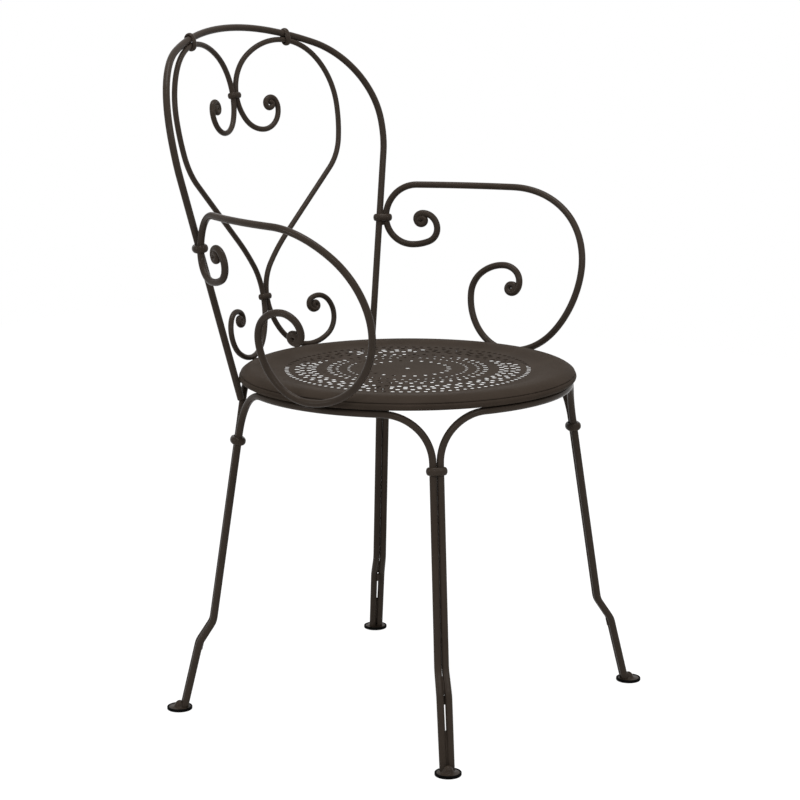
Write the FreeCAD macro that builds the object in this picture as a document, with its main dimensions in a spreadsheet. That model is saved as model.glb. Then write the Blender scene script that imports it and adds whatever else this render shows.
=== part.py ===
import FreeCAD, Part
import math
import os
import Sketcher
from FreeCAD import Placement, Rotation, Vector

# Garden armchair of bent steel rod with a pressed, perforated round seat.
# Millimetres. +Z is up, the sitter faces -Y and +X is the sitter's left.
# Shapes are drawn round the seat axis and then set back by one common shift,
# which brings the origin below the middle of the whole chair.

SIZES = [
    ("rod_diameter", "9", "legs, back hoop and arms"),
    ("scroll_diameter", "7.2", "heart scrolls of the back"),
    ("seat_radius", "215", "outside of the seat rim"),
    ("seat_height", "438.5", "top of the seat rim"),
    ("rim_round", "11.3", "quarter round at the top of the rim"),
    ("rim_curl", "4.8", "round at the foot of the rim"),
    ("sheet", "1.2", "thickness of the seat sheet"),
    ("dish_depth", "5", "pierced field below the rim top"),
    ("field_radius", "168", "edge of the flat pierced field"),
    ("dish_run", "32", "width of the sloping band"),
    ("lip_inner", "13.5", "reach of the flat rim lip from the outside inwards"),
    ("ring_inset", "8.5", "ring rods inside the rim"),
    ("arch_bend", "58", "bend from the ring down into a leg"),
    ("leg_azimuth", "44", "legs from the side axis"),
    ("leg_top_radius", "217.7", "legs from the seat axis below the bend"),
    ("leg_slope", "0.152", "splay of the upper leg"),
    ("foot_slope", "0.245", "splay of the lower leg"),
    ("kink_height", "88.5", "lower bend of the kink above the floor"),
    ("kink_rise", "27.7", "height between the two bends of the kink"),
    ("kink_step", "18.5", "outward step between the two bends"),
    ("kink_bend", "24", "bend radius at the kink"),
    ("pair_gap", "0.1", "between the two rods of an upper leg"),
    ("spread_gap", "1.4", "between the rods at the kink"),
    ("foot_gap", "0.5", "between the rods at the foot"),
    ("spacer_diameter", "4.4", "short round bar behind the kink"),
    ("spacer_length", "11", "length of that bar"),
    ("collar_height", "351", "leg collars above the floor"),
    ("collar_width", "26", "across both rods"),
    ("collar_depth", "20", "front to back"),
    ("collar_tall", "10", "along the leg"),
    ("glide_diameter", "32.5", "plastic glide"),
    ("glide_height", "4", "wall of the glide above the floor"),
    ("glide_floor", "1.6", "bottom of the glide"),
    ("glide_wall", "2", "wall thickness of the glide"),
    ("glide_round", "0.8", "round at the foot of the glide"),
    ("glide_reach", "6", "glide centre outside the rod ends"),
    ("cup_sheet", "2", "plate of the foot cup"),
    ("dome_radius", "6.6", "dome of the foot cup"),
    ("dome_rise", "8", "dome above the plate"),
    ("hoop_inset", "34.4", "middle of the hoop's face inside the rods round the rim"),
    ("hoop_lean", "0.2304", "backward lean of the hoop per height"),
    ("hoop_wrap", "470", "radius at which the hoop bends round the sitter"),
    ("hoop_side", "246.5", "top of the straight hoop sides above the seat"),
    ("hoop_side_half", "214.4", "half width of the hoop there"),
    ("hoop_wide", "289.5", "widest place of the hoop above the seat"),
    ("hoop_half", "219.4", "half width of the hoop"),
    ("hoop_crown", "131", "crown above the widest place"),
    ("hoop_corner", "113.5", "corner radius of the hoop"),
    ("hoop_tip_drop", "38.5", "tips below the seat top"),
    ("hoop_rim_bearing", "47.9", "hoop sides at the rim, seen from the seat axis"),
    ("scroll_foot", "62", "scroll foot from the middle"),
    ("scroll_foot_radius", "213.5", "scroll foot from the seat axis"),
    ("scroll_lean", "0.1774", "backward lean of the scrolls"),
    ("scroll_fold", "0.2402", "forward fold of each scroll from the middle"),
    ("band_wall", "3.4", "small collars and clips beyond their rods"),
    ("band_tall", "8", "small collars and clips along their rods"),
    ("band_edge", "2.4", "chamfer of every band"),
    ("bore_gap", "0.06", "bore of a small collar round its rod"),
    ("clip_drop", "1.5", "clips below the top of the scroll arch"),
    ("scroll_collar_low", "69.5", "lower scroll collar above the seat"),
    ("scroll_collar_high", "332.5", "upper scroll collar above the seat"),
    ("scroll_arch", "70", "top of the scroll above its upper collar"),
    ("clip_side", "98", "hoop clips from the middle"),
    ("arm_foot", "-11", "arm foot ahead of the seat axis"),
    ("arm_foot_drop", "10.8", "arm foot below the seat top"),
    ("arm_lean", "0.2377", "outward lean of the arms"),
    ("arm_bow_shift", "0.4461", "forward lean of the bow of the arms"),
    ("arm_bow_middle", "22.8", "middle of the bow at the arm foot"),
    ("arm_joint_rise", "159", "arm collar above the seat"),
    ("arm_rest", "204.4", "top run of the arms above the seat"),
    ("arm_joint_bearing", "-51.5", "arm seen from the hoop at the collar"),
    ("slot_width", "3.6", "width of the long slots"),
    ("sectors", "24", "equal sectors of the seat pattern"),
]

# Derived sizes: name and formula of the sheet.
DERIVED = [
    ("axis_zero", "0"),
    ("rod_radius", "=rod_diameter / 2"),
    ("rim_flat_radius", "=seat_radius - rim_round"),
    ("rim_side_height", "=seat_height - rim_round"),
    ("dish_outer", "=field_radius + dish_run"),
    ("dish_middle", "=field_radius + dish_run / 2"),
    ("field_height", "=seat_height - dish_depth"),
    ("slope_height", "=seat_height - dish_depth / 2"),
    ("dish_round", "=(dish_run * dish_run / 4 + dish_depth * dish_depth / 4) / dish_depth"),
    ("curl_radius", "=seat_radius - rim_curl"),
    ("curl_height", "=rim_side_height - rim_curl"),
    ("lip_end_radius", "=seat_radius - lip_inner"),
    ("inner_side", "=seat_radius - sheet"),
    ("inner_round", "=rim_round - sheet"),
    ("inner_curl", "=rim_curl - sheet"),
    ("curl_inner_height", "=curl_height + sheet"),
    ("seat_under", "=seat_height - sheet"),
    ("slope_under", "=slope_height - sheet"),
    ("field_under", "=field_height - sheet"),
    ("ring_radius", "=seat_radius - ring_inset"),
    ("ring_height", "=curl_height - rod_radius"),
    ("leg_top", "=ring_height - arch_bend"),
    ("glide_radius", "=glide_diameter / 2"),
    ("glide_foot_radius", "=glide_radius - glide_round"),
    ("glide_bore", "=glide_radius - glide_wall"),
    ("plate_top", "=glide_floor + cup_sheet"),
    ("dome_top", "=plate_top + dome_rise"),
    ("dome_flat", "=dome_radius * 0.3"),
    ("dome_shoulder", "=dome_radius * 0.72"),
    ("dome_shoulder_height", "=plate_top + dome_rise * 0.72"),
    ("collar_half_tall", "=collar_tall / 2"),
    ("collar_bulge", "=collar_depth / 2"),
    ("collar_straight", "=(collar_width - collar_depth) / 2"),
    ("bore_straight", "=(rod_diameter + pair_gap) / 2"),
]

# Rings of slots in the seat: middle radius, length, share of the slot width, slots per sector.
SLOT_ROWS = [
    (53.5, 7, 1, 1),
    (99.5, 6.5, 1, 2),
    (119.5, 9, 1, 2),
    (134, 8, 1, 2),
    (153, 6, 0.7, 4),
]

doc = FreeCAD.newDocument("garden_armchair")
sheet = doc.addObject("Spreadsheet::Sheet", "Sizes")
for row, entry in enumerate(SIZES + DERIVED, start=1):
    sheet.set("A%d" % row, entry[0].replace("_", " "))
    sheet.set("B%d" % row, entry[1])
    sheet.setAlias("B%d" % row, entry[0])
doc.recompute()


def size(name):
    """Value of one cell of the sheet."""
    return float(sheet.get(name))


ROD = size("rod_radius")
SCROLL_ROD = size("scroll_diameter") / 2
SEAT_TOP = size("seat_height")
RISE, FALL, AHEAD, BACK = (0, 1), (0, -1), (1, 0), (-1, 0)


# Paths: nodes are a point and a direction, joined by straight runs and arcs.

def mirrored_direction(direction, chord):
    """Direction at the far end of an arc that leaves along the given direction."""
    line = Vector(chord).normalize()
    return line * (2 * direction.dot(line)) - direction


def arc_or_line(start, end, direction):
    """Arc from start to end that leaves along direction, or a straight run."""
    chord = end - start
    line = Vector(chord).normalize()
    aside = direction - line * direction.dot(line)
    if aside.Length < 1e-5:
        return Part.LineSegment(start, end).toShape()
    turn = math.atan2(aside.Length, direction.dot(line))
    bulge = aside.normalize() * (chord.Length / 2 * math.tan(turn / 2))
    return Part.Arc(start, start + chord * 0.5 + bulge, end).toShape()


def span(node, after):
    """Edges from one node to the next: one run or arc where it fits, else two arcs."""
    start, leave = node
    end, arrive = after
    chord = end - start
    if (mirrored_direction(leave, chord) - arrive).Length < 1e-5:
        return [arc_or_line(start, end, leave)]
    spread = 2 * (1 - leave.dot(arrive))
    along = chord.dot(leave + arrive)
    if spread < 1e-9:
        reach = chord.dot(chord) / (2 * along)
    else:
        reach = (math.sqrt(along * along + spread * chord.dot(chord)) - along) / spread
    first, last = start + leave * reach, end - arrive * reach
    middle = (first + last) * 0.5
    return [arc_or_line(start, middle, leave),
            arc_or_line(middle, end, (last - first).normalize())]


def round_face(radius, point, way, side):
    """Round face across a rod, with its seam turned towards side."""
    ring = Part.Circle(point, way, radius)
    ring.XAxis = side - way * side.dot(way)
    return Part.Face(Part.Wire([ring.toShape()]))


def bent_rod(nodes, radius):
    """Round rod of the given radius along the nodes: bars and ring pieces in one skin."""
    edges = []
    for node, after in zip(nodes, nodes[1:]):
        edges += span(node, after)
    way = nodes[0][1]
    side = way.cross(Vector(0, 0, 1) if abs(way.z) < 0.9 else Vector(1, 0, 0))
    skin = []
    for edge in edges:
        point, way = edge.valueAt(edge.FirstParameter), edge.tangentAt(edge.FirstParameter)
        face = round_face(radius, point, way, side)
        skin += [] if skin else [face]
        if isinstance(edge.Curve, Part.Circle):
            turn = edge.Length / edge.Curve.Radius
            piece = face.revolve(edge.Curve.Center, edge.Curve.Axis, math.degrees(turn))
            side = Rotation(edge.Curve.Axis, math.degrees(turn)).multVec(side)
        else:
            piece = face.extrude(way * edge.Length)
        skin += [part for part in piece.Faces if not isinstance(part.Surface, Part.Plane)]
    end, way = nodes[-1]
    shell = Part.makeShell(skin + [round_face(radius, end, way, side)])
    shell.sewShape()
    return Part.makeSolid(shell)


def on_surface(surface, outline, split=False):
    """Nodes in space of an outline (across, up, heading) drawn on a surface."""
    flat = []
    for place, after in zip(outline, outline[1:] + [None]):
        flat.append(place)
        if split and after and place[2][0] * after[2][0] + place[2][1] * after[2][1] == 0:
            wide, tall = after[0] - place[0], after[1] - place[1]
            share = math.sqrt(0.5)
            near, far = (share, 1 - share) if place[2][0] else (1 - share, share)
            flat.append((place[0] + wide * near, place[1] + tall * far, (wide, tall)))
    nodes = []
    for across, up, heading in flat:
        length = math.hypot(heading[0], heading[1])
        step = (heading[0] / length * 0.01, heading[1] / length * 0.01)
        ahead = surface(across + step[0], up + step[1])
        behind = surface(across - step[0], up - step[1])
        nodes.append((surface(across, up), (ahead - behind).normalize()))
    return nodes


def mirror_nodes(nodes):
    """The same nodes on the other side of the chair."""
    return [(Vector(-point.x, point.y, point.z), Vector(-way.x, way.y, way.z))
            for point, way in nodes]


def backwards(nodes):
    """The same nodes, run through from the other end."""
    return [(point, way * -1) for point, way in reversed(nodes)]


# Legs: each rod runs from a foot up a leg, along the ring and down the next leg.

KINK_LOW = size("leg_top_radius") + size("leg_slope") * (
    size("leg_top") - size("kink_height") - size("kink_rise")) + size("kink_step")
FOOT_RADIUS = KINK_LOW + size("foot_slope") * (size("kink_height") - size("plate_top"))
GLIDE_CENTRE = FOOT_RADIUS + size("glide_reach")


def leg_point(bearing, radial, tangential, height):
    """Point given by its distances from a leg's own radial line."""
    turn = math.radians(bearing)
    return Vector(radial * math.cos(turn) - tangential * math.sin(turn),
                  radial * math.sin(turn) + tangential * math.cos(turn), height)


def rod_offset(gap):
    """Distance of a rod from the middle of its pair."""
    return ROD + size(gap) / 2


def half_arch(bearing, side):
    """Nodes from the floor up one leg to the ring; side is +1 or -1."""
    kink_low, kink_high = size("kink_height"), size("kink_height") + size("kink_rise")
    floor_radius = KINK_LOW + size("foot_slope") * kink_low
    corners = [
        leg_point(bearing, floor_radius, side * rod_offset("foot_gap"), 0),
        leg_point(bearing, KINK_LOW, side * rod_offset("spread_gap"), kink_low),
        leg_point(bearing, KINK_LOW - size("kink_step"), side * rod_offset("pair_gap"), kink_high),
        leg_point(bearing, size("leg_top_radius"), side * rod_offset("pair_gap"), size("leg_top")),
    ]
    ways = [(after - corner).normalize() for corner, after in zip(corners, corners[1:])]
    nodes = [(corners[0], ways[0])]
    for corner, way, after in zip(corners[1:], ways, ways[1:]):
        reach = size("kink_bend") * math.tan(way.getAngle(after) / 2)
        nodes += [(corner - way * reach, way), (corner + after * reach, after)]
    nodes.append((corners[-1], ways[-1]))
    turn = math.asin((rod_offset("pair_gap") + size("arch_bend")) / size("ring_radius"))
    nodes.append(ring_node(bearing + side * math.degrees(turn), side))
    return nodes


def ring_node(bearing, side):
    """Node on the ring; side +1 heads anticlockwise seen from above."""
    point = leg_point(bearing, size("ring_radius"), 0, size("ring_height"))
    return point, leg_point(bearing, 0, side, 0)


def leg_arch(first_leg, last_leg, cups):
    """Rod from the foot at one bearing round the ring to the foot at the next."""
    nodes = half_arch(first_leg, 1) + backwards(half_arch(last_leg, -1))
    shape = bent_rod(nodes, ROD)
    reach = 2 * size("ring_radius") + 4 * size("glide_radius")
    below = Part.makeBox(reach, reach, 2 * size("plate_top"),
                         Vector(-reach / 2, -reach / 2, -size("plate_top")))
    return shape.cut(below).cut(cups)


# Back hoop: leaned back and wrapped round the sitter, with straight sides.

def hoop_surface(across, up):
    """Point of the hoop's leaned and curved face; up counts from the seat top."""
    wrap = size("hoop_wrap")
    base = size("seat_radius") + ROD - size("hoop_inset")
    forward = wrap - math.sqrt(wrap * wrap - across * across)
    return Vector(across, base + size("hoop_lean") * up - forward, SEAT_TOP + up)


def hoop_side():
    """Centre line of the left side: where it rests on the foot of the rim, and its top."""
    top = hoop_surface(size("hoop_side_half"), size("hoop_side"))
    bearing = size("hoop_rim_bearing")
    outward = leg_point(bearing, 1, 0, 0)
    lean = 0
    for _ in range(4):
        radial = size("curl_radius") + (size("rim_curl") + ROD) * math.sqrt(1 + lean * lean)
        foot = leg_point(bearing, radial, 0, size("rim_side_height"))
        lean = (top - foot).dot(outward) / (top - foot).z
    return foot, top


def hoop_side_point(up):
    """Point of the straight left side at a height above the seat top."""
    foot, top = hoop_side()
    return foot + (top - foot) * ((SEAT_TOP + up - foot.z) / (top.z - foot.z))


def hoop_top(across):
    """Height above the seat of the hoop's crown curve at a distance across."""
    half, rise, corner = size("hoop_half"), size("hoop_crown"), size("hoop_corner")
    top = (half * half + rise * rise - 2 * half * corner) / (2 * (rise - corner))
    return size("hoop_wide") + rise - top + math.sqrt(top * top - across * across), top


def hoop_nodes():
    """Nodes of the left half of the hoop, tip to crown."""
    half, corner = size("hoop_half"), size("hoop_corner")
    wide, crown = size("hoop_wide"), size("hoop_wide") + size("hoop_crown")
    join = math.atan2(hoop_top(0)[1] - size("hoop_crown"), half - corner)
    outline = [(half, wide, RISE)]
    for share in (0.5, 1):
        turn = join * share
        outline.append((half - corner + corner * math.cos(turn), wide + corner * math.sin(turn),
                        (-math.sin(turn), math.cos(turn))))
    outline.append((0, crown, BACK))
    tip, top = hoop_side_point(-size("hoop_tip_drop")), hoop_side()[1]
    way = (top - tip).normalize()
    return [(tip, way), (top, way)] + on_surface(hoop_surface, outline)


# Heart scrolls: each lies flat in its own leaned and folded plane.

def scroll_foot_height():
    """Height of the scroll's lowest centre where it rests on the round of the rim."""
    reach = size("rim_round") + SCROLL_ROD
    inward = size("scroll_foot_radius") - size("rim_flat_radius")
    return size("rim_side_height") + math.sqrt(reach * reach - inward * inward)


def scroll_surface(across, up):
    """Point of the left scroll's plane; up counts from the scroll foot."""
    foot, radius = size("scroll_foot"), size("scroll_foot_radius")
    base = math.sqrt(radius * radius - foot * foot)
    back = base + size("scroll_lean") * up - size("scroll_fold") * (across - foot)
    return Vector(across, back, scroll_foot_height() + up)


def scroll_outline():
    """Left scroll seen from the front: upper curl, heart side, foot and lower curl."""
    low, high = size("scroll_collar_low"), size("scroll_collar_high")
    beside = SCROLL_ROD
    foot = size("scroll_foot")
    return [
        (58.5, high - 17, (-1, -0.7)),
        (54, high - 18.6, BACK),
        (49, high - 12.7, RISE),
        (58, high - 4.7, AHEAD),
        (68, high - 18, FALL),
        (40, high - 46, BACK),
        (beside, high, RISE),
        (85, high + size("scroll_arch"), AHEAD),
        (167, high - 19, FALL),
        (139, high - 103, (-89, -82)),
        (50, high - 185, (-89, -82)),
        (beside, low, FALL),
        (foot, 0, AHEAD),
        (109.5, 36.5, RISE),
        (87, 62, BACK),
        (70.5, 51, FALL),
        (78, 43.8, AHEAD),
        (85, 49.2, RISE),
        (81, 53.4, BACK),
    ]


# Arms: each lies in a bowed, outward leaning face.

def arm_joint():
    """Centre of the arm rod where it passes beside the hoop."""
    turn = math.radians(size("arm_joint_bearing"))
    beside = Vector(math.cos(turn), math.sin(turn), 0) * size("rod_diameter")
    return hoop_side_point(size("arm_joint_rise")) + beside


def arm_surface(along, up):
    """Point of the left arm's face; along runs to the back, up from the seat top."""
    rim = size("seat_radius") + ROD + size("bore_gap")
    foot, drop = size("arm_foot"), size("arm_foot_drop")
    lean, shift, middle = size("arm_lean"), size("arm_bow_shift"), size("arm_bow_middle")
    joint = arm_joint()
    rise = size("arm_joint_rise") + drop
    foot_side = math.sqrt(rim * rim - foot * foot)
    start, reach = foot - middle, joint.y - middle + shift * rise
    inward = foot_side + lean * rise - joint.x
    bow = math.hypot(reach, (reach * reach - start * start - inward * inward) / (2 * inward))
    across = along - middle + shift * (up + drop)
    bowed = math.sqrt(bow * bow - across * across) - math.sqrt(bow * bow - start * start)
    return Vector(foot_side + lean * (up + drop) + bowed, along, SEAT_TOP + up)


def arm_outline():
    """Left arm seen from the side: rear curl, back bend, rest, front bend, front curl."""
    back, joint = arm_joint().y, size("arm_joint_rise")
    rest, foot, drop = size("arm_rest"), size("arm_foot"), size("arm_foot_drop")
    return [
        (126.2, 155.2, FALL),
        (131, 150.3, AHEAD),
        (137, 158, RISE),
        (129, 165.4, BACK),
        (110, 143.6, FALL),
        (141.5, 122.3, AHEAD),
        (back, joint, RISE),
        (136.6, rest, BACK),
        (9.5, rest, BACK),
        (-113.5, 97.8, FALL),
        (foot, -drop, AHEAD),
        (56.6, 60.2, RISE),
        (11.5, 99.9, BACK),
        (-15, 77, FALL),
        (-4.5, 64.3, AHEAD),
        (2.4, 70, RISE),
        (-2.6, 75.2, BACK),
        (-5, 75.2, BACK),
    ]


# Solids of the small parts.

def origin_plane(body, role):
    """Base plane or axis of a body by its role."""
    return [item for item in body.Origin.OriginFeatures if item.Role == role][0]


def new_body(name):
    body = doc.addObject("PartDesign::Body", name)
    body.Label = name
    return body


def new_sketch(body, name, role):
    sketch = body.newObject("Sketcher::SketchObject", name)
    sketch.AttachmentSupport = (origin_plane(body, role), [""])
    sketch.MapMode = "FlatFace"
    return sketch


def add_outline(sketch, corners):
    """Closed outline of cells of the sheet; an arc to the next corner is a radius and a turn."""
    places = [Vector(size(corner[0]), size(corner[1]), 0) for corner in corners]
    ends = []
    for corner, start, end in zip(corners, places, places[1:] + places[:1]):
        if len(corner) == 2:
            line = sketch.addGeometry(Part.LineSegment(start, end), False)
            ends.append((line, 1, 2))
            continue
        radius, turn = size(corner[2]), corner[3]
        chord = end - start
        aside = math.sqrt(max(radius * radius - chord.Length * chord.Length / 4, 0))
        left = Vector(-chord.y, chord.x, 0).normalize()
        centre = (start + end) * 0.5 + left * (aside * turn)
        first, last = (start, end) if turn > 0 else (end, start)
        begin = math.atan2(first.y - centre.y, first.x - centre.x)
        finish = math.atan2(last.y - centre.y, last.x - centre.x)
        circle = Part.Circle(centre, Vector(0, 0, 1), radius)
        arc = sketch.addGeometry(Part.ArcOfCircle(circle, begin, finish), False)
        ends.append((arc, 1, 2) if turn > 0 else (arc, 2, 1))
        index = sketch.addConstraint(Sketcher.Constraint("Radius", arc, radius))
        sketch.setExpression("Constraints[%d]" % index, "Sizes." + corner[2])
    for here, after in zip(ends, ends[1:] + ends[:1]):
        sketch.addConstraint(Sketcher.Constraint("Coincident", here[0], here[2], after[0], after[1]))
    for corner, place, here in zip(corners, places, ends):
        pin_point(sketch, "DistanceX", here, corner[0], place.x)
        pin_point(sketch, "DistanceY", here, corner[1], place.y)


def pin_point(sketch, kind, here, name, value):
    """Tie one coordinate of an outline corner to its cell."""
    if value == 0:
        axis = -2 if kind == "DistanceX" else -1
        sketch.addConstraint(Sketcher.Constraint("PointOnObject", here[0], here[1], axis))
        return
    index = sketch.addConstraint(Sketcher.Constraint(kind, -1, 1, here[0], here[1], value))
    sketch.setExpression("Constraints[%d]" % index, "Sizes." + name)


def turned_body(name, corners):
    """Body turned about the upright axis from an outline of radius and height."""
    body = new_body(name)
    sketch = new_sketch(body, name + "_outline", "XZ_Plane")
    add_outline(sketch, corners)
    turned = body.newObject("PartDesign::Revolution", name + "_turned")
    turned.Profile = sketch
    turned.ReferenceAxis = (sketch, ["V_Axis"])
    turned.Angle = 360
    return body


def seat_pan():
    """Pressed seat: dished sheet with a rolled rim and pierced rings of slots."""
    body = turned_body("seat_pan", [
        ("axis_zero", "field_under"),
        ("field_radius", "field_under", "dish_round", 1),
        ("dish_middle", "slope_under", "dish_round", -1),
        ("dish_outer", "seat_under"),
        ("rim_flat_radius", "seat_under", "inner_round", -1),
        ("inner_side", "rim_side_height", "inner_curl", -1),
        ("curl_radius", "curl_inner_height"),
        ("lip_end_radius", "curl_inner_height"),
        ("lip_end_radius", "curl_height"),
        ("curl_radius", "curl_height", "rim_curl", 1),
        ("seat_radius", "rim_side_height", "rim_round", 1),
        ("rim_flat_radius", "seat_height"),
        ("dish_outer", "seat_height", "dish_round", 1),
        ("dish_middle", "slope_height", "dish_round", -1),
        ("field_radius", "field_height"),
        ("axis_zero", "field_height"),
    ])
    sketch = new_sketch(body, "seat_slots", "XY_Plane")
    sector = 360 / size("sectors")
    width = size("slot_width")
    for middle, length, share, count in SLOT_ROWS:
        for number in range(count):
            place = (number + 0.5) / count - 0.5
            add_slot(sketch, middle, length, width * share, sector * place)
    cut = body.newObject("PartDesign::Pocket", "seat_slot_cut")
    cut.Profile = sketch
    cut.Type = "ThroughAll"
    cut.Reversed = True
    ring = body.newObject("PartDesign::PolarPattern", "seat_slot_rings")
    ring.Originals = [cut]
    ring.Axis = (sketch, ["N_Axis"])
    ring.Angle = 360
    ring.Occurrences = int(size("sectors"))
    ring.setExpression("Occurrences", "Sizes.sectors")
    body.Tip = ring
    return body


def add_slot(sketch, middle, length, width, bearing):
    """Radial slot as a closed oblong in the seat sketch."""
    corners = [leg_point(bearing, middle + along * length / 2, aside * width / 2, 0)
               for along, aside in ((-1, -1), (1, -1), (1, 1), (-1, 1))]
    first = sketch.GeometryCount
    for corner, after in zip(corners, corners[1:] + corners[:1]):
        sketch.addGeometry(Part.LineSegment(corner, after), False)
    for edge in range(4):
        sketch.addConstraint(Sketcher.Constraint(
            "Coincident", first + edge, 2, first + (edge + 1) % 4, 1))


def foot_glide(name):
    """Round plastic glide with a recess for the foot cup."""
    return turned_body(name, [
        ("axis_zero", "axis_zero"),
        ("glide_foot_radius", "axis_zero"),
        ("glide_radius", "glide_round"),
        ("glide_radius", "glide_height"),
        ("glide_bore", "glide_height"),
        ("glide_bore", "glide_floor"),
        ("axis_zero", "glide_floor"),
    ])


def foot_cup(name):
    """Round steel plate with a dome beside the rod ends."""
    return turned_body(name, [
        ("axis_zero", "glide_floor"),
        ("glide_bore", "glide_floor"),
        ("glide_bore", "plate_top"),
        ("dome_radius", "plate_top"),
        ("dome_shoulder", "dome_shoulder_height"),
        ("dome_flat", "dome_top"),
        ("axis_zero", "dome_top"),
    ])


def leg_collar(name):
    """Thick rounded band that closes round both rods of a leg."""
    body = new_body(name)
    sketch = new_sketch(body, name + "_outline", "XY_Plane")
    add_long_round(sketch, "collar_straight", "collar_bulge")
    add_long_round(sketch, "bore_straight", "rod_radius")
    band = body.newObject("PartDesign::Pad", name + "_band")
    band.Profile = sketch
    band.Midplane = True
    band.Length = size("collar_tall")
    band.setExpression("Length", "Sizes.collar_tall")
    doc.recompute()
    edges = []
    for number, edge in enumerate(band.Shape.Edges, start=1):
        level = abs(edge.BoundBox.ZMin) > size("collar_tall") / 4 and edge.BoundBox.ZLength < 0.01
        outer = edge.BoundBox.YMax > size("rod_radius") + 0.5
        if level and (outer or edge.BoundBox.YMin < -size("rod_radius") - 0.5):
            edges.append("Edge%d" % number)
    bead = body.newObject("PartDesign::Chamfer", name + "_bead")
    bead.Base = (band, edges)
    bead.Size = size("band_edge")
    bead.setExpression("Size", "Sizes.band_edge")
    body.Tip = bead
    return body


def add_long_round(sketch, straight, radius):
    """Oblong with half-round ends: half length of its straights and end radius."""
    half, curve = size(straight), size(radius)
    up, right = Vector(0, 0, 1), Part.Circle(Vector(half, 0, 0), Vector(0, 0, 1), curve)
    left = Part.Circle(Vector(-half, 0, 0), up, curve)
    quarter = math.pi / 2
    ends = [
        sketch.addGeometry(Part.ArcOfCircle(right, -quarter, quarter), False),
        sketch.addGeometry(Part.LineSegment(Vector(half, curve, 0), Vector(-half, curve, 0)), False),
        sketch.addGeometry(Part.ArcOfCircle(left, quarter, 3 * quarter), False),
        sketch.addGeometry(Part.LineSegment(Vector(-half, -curve, 0), Vector(half, -curve, 0)), False),
    ]
    for here, after in zip(ends, ends[1:] + ends[:1]):
        sketch.addConstraint(Sketcher.Constraint("Tangent", here, 2, after, 1))
    for end, way in ((ends[0], 1), (ends[2], -1)):
        sketch.addConstraint(Sketcher.Constraint("PointOnObject", end, 3, -1))
        index = sketch.addConstraint(Sketcher.Constraint("DistanceX", -1, 1, end, 3, way * half))
        sketch.setExpression("Constraints[%d]" % index, "%d * Sizes.%s" % (way, straight))
    index = sketch.addConstraint(Sketcher.Constraint("Radius", ends[0], curve))
    sketch.setExpression("Constraints[%d]" % index, "Sizes." + radius)


def band_round_rods(first, last, wall, side_wall, tall):
    """Chamfered band round two rods, each given by a point, a direction and a radius."""
    spread = last[0] - first[0]
    across = Vector(spread).normalize()
    axis = (first[1] + last[1]).normalize()
    axis = (axis - across * axis.dot(across)).normalize()
    half_wide = (spread.Length + first[2] + last[2]) / 2 + wall
    middle = first[0] + across * (half_wide - wall - first[2])
    bulge = max(first[2], last[2]) + side_wall
    band = Part.Face(long_round_wire(half_wide - bulge, bulge)).extrude(Vector(0, 0, tall))
    band.translate(Vector(0, 0, -tall / 2))
    edges = [edge for edge in band.Edges if edge.BoundBox.ZLength < 0.01]
    band = band.makeChamfer(size("band_edge"), edges)
    band.Placement = Placement(middle, Rotation(across, axis.cross(across), axis, "XYZ"))
    for point, way, radius in (first, last):
        bore = Part.makeCylinder(radius + size("bore_gap"), 4 * tall, point - way * (2 * tall), way)
        band = band.cut(bore)
    return band


def long_round_wire(half, curve):
    """Wire of an oblong with half-round ends about the origin."""
    points = [Vector(half, -curve, 0), Vector(half + curve, 0, 0), Vector(half, curve, 0),
              Vector(-half, curve, 0), Vector(-half - curve, 0, 0), Vector(-half, -curve, 0)]
    return Part.Wire([
        Part.Arc(points[0], points[1], points[2]).toShape(),
        Part.LineSegment(points[2], points[3]).toShape(),
        Part.Arc(points[3], points[4], points[5]).toShape(),
        Part.LineSegment(points[5], points[0]).toShape(),
    ])


# Assembly.

crown_back = hoop_surface(0, size("hoop_wide") + size("hoop_crown")).y + ROD
front_reach = GLIDE_CENTRE * math.sin(math.radians(size("leg_azimuth"))) + size("glide_radius")
SHIFT = Vector(0, (front_reach - crown_back) / 2, 0)
parts = []


def place_part(item, point=None, rotation=None):
    """Set a finished part in the chair's frame and list it for export."""
    item.Placement = Placement((point or Vector()) + SHIFT, rotation or Rotation())
    parts.append(item)


def add_shape(name, shape):
    """Part whose shape is made here."""
    item = doc.addObject("Part::Feature", name)
    item.Label = name
    item.Shape = shape
    place_part(item)
    return shape


LEGS = {
    "rear_left": size("leg_azimuth"),
    "rear_right": 180 - size("leg_azimuth"),
    "front_right": 180 + size("leg_azimuth"),
    "front_left": 360 - size("leg_azimuth"),
}

place_part(seat_pan())
doc.recompute()

cup_shapes = []
for name, bearing in LEGS.items():
    foot = leg_point(bearing, GLIDE_CENTRE, 0, 0)
    place_part(foot_glide("foot_glide_" + name), foot)
    cup = foot_cup("foot_cup_" + name)
    doc.recompute()
    cup_shape = cup.Tip.Shape.copy()
    cup_shape.translate(foot)
    cup_shapes.append(cup_shape)
    place_part(cup, foot)

arches = {}
ARCHES = {
    "rear": ("rear_left", "rear_right"),
    "right": ("rear_right", "front_right"),
    "front": ("front_right", "front_left"),
    "left": ("front_left", "rear_left"),
}
for name, (first, last) in ARCHES.items():
    turn = (LEGS[last] - LEGS[first]) % 360
    arches[name] = add_shape("leg_arch_" + name,
                             leg_arch(LEGS[first], LEGS[first] + turn, cup_shapes))

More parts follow.
